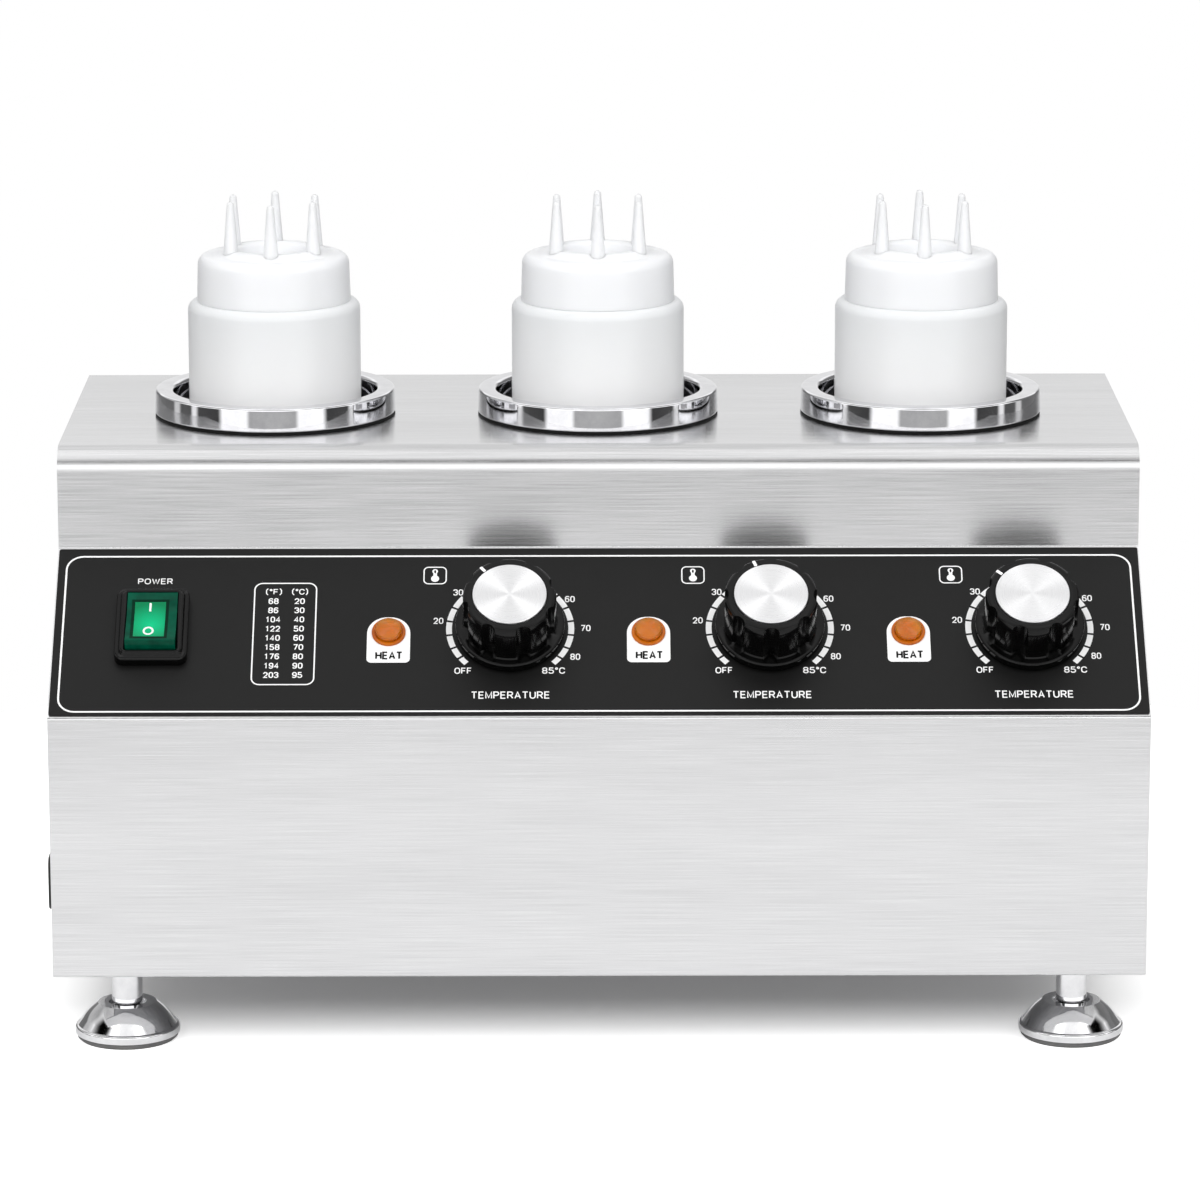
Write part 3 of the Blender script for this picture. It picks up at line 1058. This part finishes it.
def makeFloor():
    # Table top that adds just enough of its own light, in what the camera and mirrors see, to turn white
    angles = fullTurn(96)
    reach, centre = (studio["tableBack"] - studio["tableFront"]) / 2, (studio["tableBack"] + studio["tableFront"]) / 2
    rim = mm * np.column_stack([np.cos(angles) * studio["tableWidth"] / 2, centre + np.sin(angles) * reach,
                                0 * angles])
    mesh = bpy.data.meshes.new("floor")
    mesh.from_pydata(rim.tolist(), [], [list(range(len(rim)))])
    floor = addObject("floor", mesh)
    material, tree, shader = newMaterial("matt white table", Base_Color=srgb(studio["tableTone"]), Roughness=0.9,
                                         Specular_IOR_Level=0.1, Emission_Color=(1, 1, 1, 1))
    rays = addNode(tree, "ShaderNodeLightPath")
    mirrored = addNode(tree, "ShaderNodeMath", {"operation": "MAXIMUM"}, i0=(rays, "Is Glossy Ray"),
                       i1=(rays, "Is Transmission Ray"))
    seen = addNode(tree, "ShaderNodeMath", {"operation": "MAXIMUM"}, i0=(rays, "Is Camera Ray"), i1=(mirrored, 0))
    glow = addNode(tree, "ShaderNodeMath", {"operation": "MULTIPLY"}, i0=(seen, 0), i1=studio["tableGlow"])
    # Away from a rectangle under the cabinet the camera sees the table a little whiter
    here = addNode(tree, "ShaderNodeTexCoord")
    size = addNode(tree, "ShaderNodeVectorMath", {"operation": "ABSOLUTE"}, i0=(here, "Object"))
    wide, deep = [part * mm for part in studio["shade"]]
    beyond = addNode(tree, "ShaderNodeVectorMath", {"operation": "SUBTRACT"}, i0=(size, 0), i1=(wide, deep, 0))
    outside = addNode(tree, "ShaderNodeVectorMath", {"operation": "MAXIMUM"}, i0=(beyond, 0), i1=(0, 0, 0))
    away = addNode(tree, "ShaderNodeVectorMath", {"operation": "LENGTH"}, i0=(outside, 0))
    rise = addNode(tree, "ShaderNodeMapRange", {"interpolation_type": "SMOOTHSTEP"}, Value=(away, "Value"),
                   From_Max=studio["shadeBlur"] * mm, To_Max=studio["shadeGlow"])
    toCamera = addNode(tree, "ShaderNodeMath", {"operation": "MULTIPLY"}, i0=(rise, 0), i1=(rays, "Is Camera Ray"))
    both = addNode(tree, "ShaderNodeMath", {"operation": "ADD"}, i0=(glow, 0), i1=(toCamera, 0))
    feed(shader, Emission_Strength=(both, 0))
    mesh.materials.append(material)


def addLamp(name, place, size, power):
    # A square area lamp that faces the point where all lamps aim
    data = bpy.data.lights.new(name, "AREA")
    data.size = size * mm
    data.energy = power
    lampObject = addObject(name, data)
    back = unit(np.array(place) - studio["aim"])
    right = unit(np.cross((0, 0, 1), back))
    lampObject.matrix_world = Matrix(frameAt(np.array(place) * mm, right, np.cross(back, right)).tolist())
    lampObject.visible_glossy = False  # bright metal mirrors the world's bands instead


def makeWorld():
    # White to the camera, one pale level to matt surfaces, and the room's bands to bright metal
    world = bpy.data.worlds.new("studio")
    bpy.context.scene.world = world
    world.use_nodes = True
    tree = world.node_tree
    tree.nodes.clear()
    way = addNode(tree, "ShaderNodeTexCoord")
    parts = addNode(tree, "ShaderNodeSeparateXYZ", Vector=(way, "Generated"))
    towards = addNode(tree, "ShaderNodeMath", {"operation": "MULTIPLY"}, i0=(parts, "Y"), i1=-1.0)
    azimuth = addNode(tree, "ShaderNodeMath", {"operation": "ARCTAN2"}, i0=(parts, "X"), i1=(towards, 0))
    turn = addNode(tree, "ShaderNodeMath", {"operation": "DIVIDE"}, i0=(azimuth, 0), i1=math.pi)
    apart = addNode(tree, "ShaderNodeMath", {"operation": "ABSOLUTE"}, i0=(turn, 0))
    around = addNode(tree, "ShaderNodeMapRange", Value=(turn, 0), From_Min=-1.0)
    # Each band of brightness begins at low; its ramp holds half of it, to stay within 1
    bands = []
    for source, low, stops in (((parts, "Z"), 0, frontSky), ((parts, "Z"), 0, backSky), ((apart, 0), 0, horizon),
                               ((around, 0), -1, flanks), ((around, 0), -1, fans)):
        band = addNode(tree, "ShaderNodeValToRGB", Fac=source)
        for k, (spot, level) in enumerate(stops):
            spot = (spot - low) / (1 - low)
            stop = band.color_ramp.elements[k] if k < 2 else band.color_ramp.elements.new(spot)
            stop.position = spot
            stop.color = (level / 2, level / 2, level / 2, 1)
        bands.append((band, 0))
    front, back, ground, lowSides, highSides = bands
    behind = addNode(tree, "ShaderNodeMapRange", {"interpolation_type": "SMOOTHSTEP"}, Value=(apart, 0),
                     From_Min=0.45, From_Max=0.6)
    sky = addNode(tree, "ShaderNodeMix", {"data_type": "FLOAT"}, i0=(behind, 0), i2=front, i3=back)
    high = addNode(tree, "ShaderNodeMapRange", {"interpolation_type": "SMOOTHSTEP"}, Value=(parts, "Z"),
                   From_Min=0.6, From_Max=0.78)
    flank = addNode(tree, "ShaderNodeMix", {"data_type": "FLOAT"}, i0=(high, 0), i2=lowSides, i3=highSides)
    shaded = addNode(tree, "ShaderNodeMath", {"operation": "MULTIPLY"}, i0=(sky, 0), i1=(flank, 0))
    restored = addNode(tree, "ShaderNodeMath", {"operation": "MULTIPLY"}, i0=(shaded, 0), i1=2.0)
    # Below the horizon its own band shows, and to the sides that horizon lies higher
    aside = addNode(tree, "ShaderNodeMapRange", Value=(apart, 0), From_Min=0.27, From_Max=0.29, To_Max=0.2)
    level = addNode(tree, "ShaderNodeMath", {"operation": "SUBTRACT"}, i0=(parts, "Z"), i1=(aside, 0))
    sunk = addNode(tree, "ShaderNodeMapRange", {"interpolation_type": "SMOOTHSTEP"}, Value=(level, 0),
                   From_Min=0.1, From_Max=0.05)
    room = addNode(tree, "ShaderNodeMix", {"data_type": "FLOAT"}, i0=(sunk, 0), i2=(restored, 0), i3=ground)
    doubled = addNode(tree, "ShaderNodeMath", {"operation": "MULTIPLY"}, i0=(room, 0), i1=2.0)
    rays = addNode(tree, "ShaderNodeLightPath")
    toMetal = addNode(tree, "ShaderNodeMix", {"data_type": "FLOAT"}, i0=(rays, "Is Glossy Ray"),
                      i2=studio["diffuseLevel"], i3=(doubled, 0))
    seen = addNode(tree, "ShaderNodeMath", {"operation": "MAXIMUM"}, i0=(rays, "Is Camera Ray"),
                   i1=(rays, "Is Transmission Ray"))
    strength = addNode(tree, "ShaderNodeMix", {"data_type": "FLOAT"}, i0=(seen, 0), i2=(toMetal, 0), i3=1.0)
    glow = addNode(tree, "ShaderNodeBackground", Color=(1, 1, 1, 1), Strength=(strength, 0))
    addNode(tree, "ShaderNodeOutputWorld", Surface=(glow, 0))


makeFloor()
makeWorld()
for name, light in lights.items():
    addLamp(name, *light)
bpy.context.scene.view_settings.view_transform = "Standard"
print("camera and studio ready")
